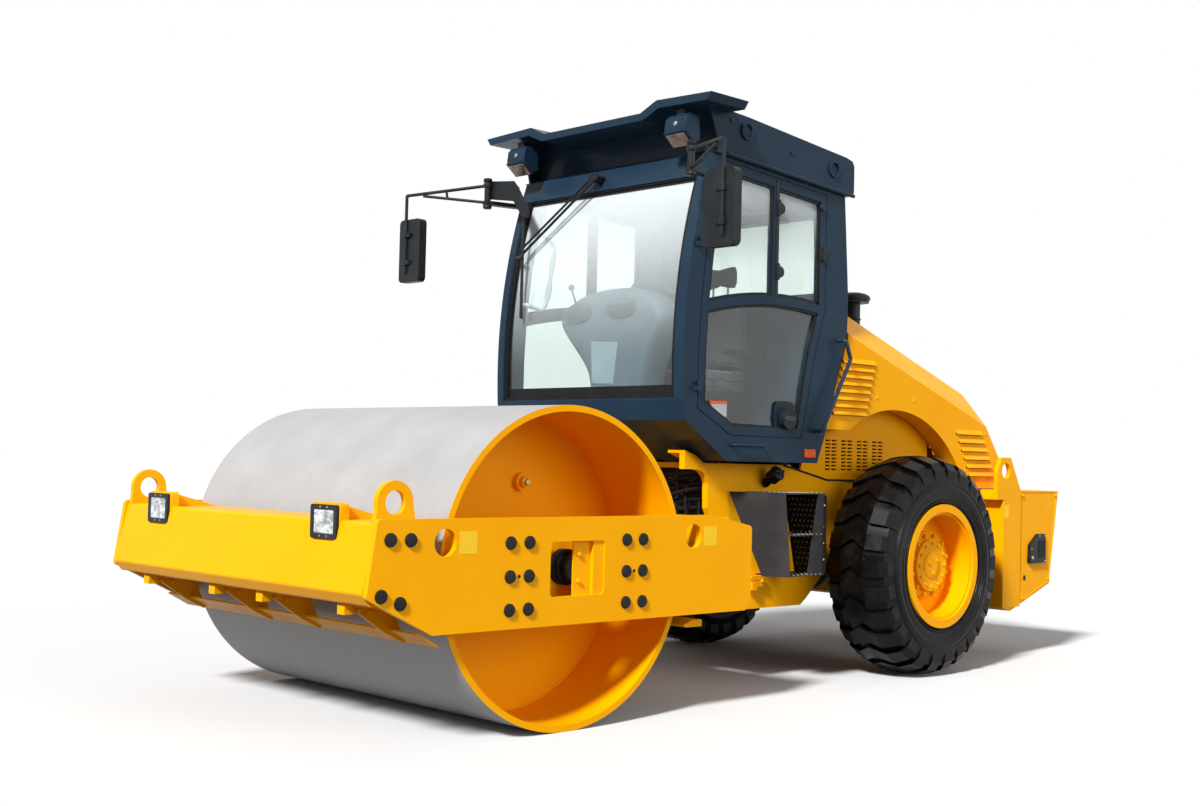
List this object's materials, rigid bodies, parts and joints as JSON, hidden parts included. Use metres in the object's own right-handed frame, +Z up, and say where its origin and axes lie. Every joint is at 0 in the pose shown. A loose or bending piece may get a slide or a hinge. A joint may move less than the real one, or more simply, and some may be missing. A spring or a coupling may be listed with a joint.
{
  "type": "single-drum road roller",
  "caption": "Articulated soil compactor: smooth vibrating drum in a steel frame ahead, cab, tilting hood and rubber-tyred rear axle behind.",
  "frame": {"origin": "on the ground below the middle of the machine's overall box", "axes": "+X forward to the drum, +Y to the machine's left, +Z up"},
  "size_m": [5.9806, 2.763, 3.2448],
  "materials": {
    "yellow_paint": "gloss",
    "drum_steel": "machined",
    "black_rubber": "matte",
    "tyre_rubber": "semi-gloss",
    "black_iron": "painted",
    "bare_steel": "plain",
    "chrome": "polished",
    "cab_paint": "satin",
    "step_paint": "satin",
    "glass": "clear",
    "black_plastic": "textured",
    "grey_plastic": "textured",
    "seat_cloth": "woven"
  },
  "bodies": {
    "rear_frame": {"hitch_pins": "bare_steel", "chassis": "yellow_paint", "cab_brackets": "yellow_paint", "counterweight": "yellow_paint", "rear_lamps": "black_plastic", "rear_axle": "black_iron", "engine": "black_iron", "engine_side_panels": "yellow_paint", "hood_hinges": "bare_steel", "cab_frame": "cab_paint", "windshield": "glass", "rear_glass": "glass", "side_window_frame": "cab_paint", "side_window_glass": "glass", "cab_roof": "cab_paint", "roof_lamps": "cab_paint", "door_hinges": "cab_paint", "mirror_left": "black_plastic", "mirror_right": "black_plastic", "wiper": "black_plastic", "grab_handles": "black_plastic", "console": "grey_plastic", "steering_wheel": "black_plastic", "seat_base": "black_plastic", "seat_cushion": "seat_cloth", "seat_back": "seat_cloth", "steps_left": "step_paint", "steps_right": "step_paint", "fuel_filler": "black_plastic", "cab_mounts": "black_rubber"},
    "front_frame": {"side_plate_left": "yellow_paint", "side_plate_right": "yellow_paint", "front_beam": "yellow_paint", "front_lamps": "black_plastic", "front_scraper": "yellow_paint", "rear_beam": "yellow_paint", "rear_scraper": "yellow_paint", "drum_mounts": "yellow_paint", "isolators": "black_rubber", "drum_motors": "black_iron"},
    "drum": {"drum_shell": "drum_steel", "drum_discs": "yellow_paint"},
    "hitch": {"hitch": "yellow_paint"},
    "barrel_left": {"steering_barrel_left": "black_iron"},
    "barrel_right": {"steering_barrel_right": "black_iron"},
    "rod_left": {"steering_rod_left": "chrome"},
    "rod_right": {"steering_rod_right": "chrome"},
    "wheel_left": {"tyre_left": "tyre_rubber", "rim_left": "yellow_paint"},
    "wheel_right": {"tyre_right": "tyre_rubber", "rim_right": "yellow_paint"},
    "hood": {"hood": "yellow_paint", "intake": "black_plastic"},
    "door": {"door_frame": "cab_paint", "door_glass": "glass"}
  },
  "joints": [
    {"name": "steer", "type": "hinge", "parent": "rear_frame", "child": "hitch", "pos_m": [0.325, 0, 0.73], "axis": [0, 0, -1], "range_deg": [-35, 35]},
    {"name": "oscillation", "type": "hinge", "parent": "hitch", "child": "front_frame", "pos_m": [0.7, 0, 0.73], "axis": [1, 0, 0], "range_deg": [-12, 12]},
    {"name": "drum_spin", "type": "hinge", "parent": "front_frame", "child": "drum", "pos_m": [1.805, 0, 0.76], "axis": [0, 1, 0], "continuous": true},
    {"name": "wheel_left_spin", "type": "hinge", "parent": "rear_frame", "child": "wheel_left", "pos_m": [-1.255, 0.895, 0.67], "axis": [0, 1, 0], "continuous": true},
    {"name": "wheel_right_spin", "type": "hinge", "parent": "rear_frame", "child": "wheel_right", "pos_m": [-1.255, -0.895, 0.67], "axis": [0, 1, 0], "continuous": true},
    {"name": "door_swing", "type": "hinge", "parent": "rear_frame", "child": "door", "pos_m": [0.632, 0.792, 1.7], "axis": [0, 0, -1], "range_deg": [0, 95]},
    {"name": "hood_tilt", "type": "hinge", "parent": "rear_frame", "child": "hood", "pos_m": [-2.493, 0, 1.154], "axis": [0, -1, 0], "range_deg": [0, 55]},
    {"name": "barrel_left_swing", "type": "hinge", "parent": "rear_frame", "child": "barrel_left", "pos_m": [-0.395, 0.33, 0.73], "axis": [0, 0, -1], "range_deg": [-5, 5]},
    {"name": "barrel_right_swing", "type": "hinge", "parent": "rear_frame", "child": "barrel_right", "pos_m": [-0.395, -0.33, 0.73], "axis": [0, 0, -1], "range_deg": [-5, 5]},
    {"name": "rod_left_slide", "type": "slide", "parent": "barrel_left", "child": "rod_left", "axis": [0.9994, -0.0349, 0], "range_m": [-0.19, 0.19]},
    {"name": "rod_right_slide", "type": "slide", "parent": "barrel_right", "child": "rod_right", "axis": [0.9994, 0.0349, 0], "range_m": [-0.19, 0.19]}
  ],
  "couplings": [
    {"joint": "barrel_left_swing", "follows": "steer", "ratio": 0.128},
    {"joint": "barrel_right_swing", "follows": "steer", "ratio": 0.128},
    {"joint": "rod_left_slide", "follows": "steer", "m_per_rad": 0.2963},
    {"joint": "rod_right_slide", "follows": "steer", "m_per_rad": -0.2963}
  ]
}
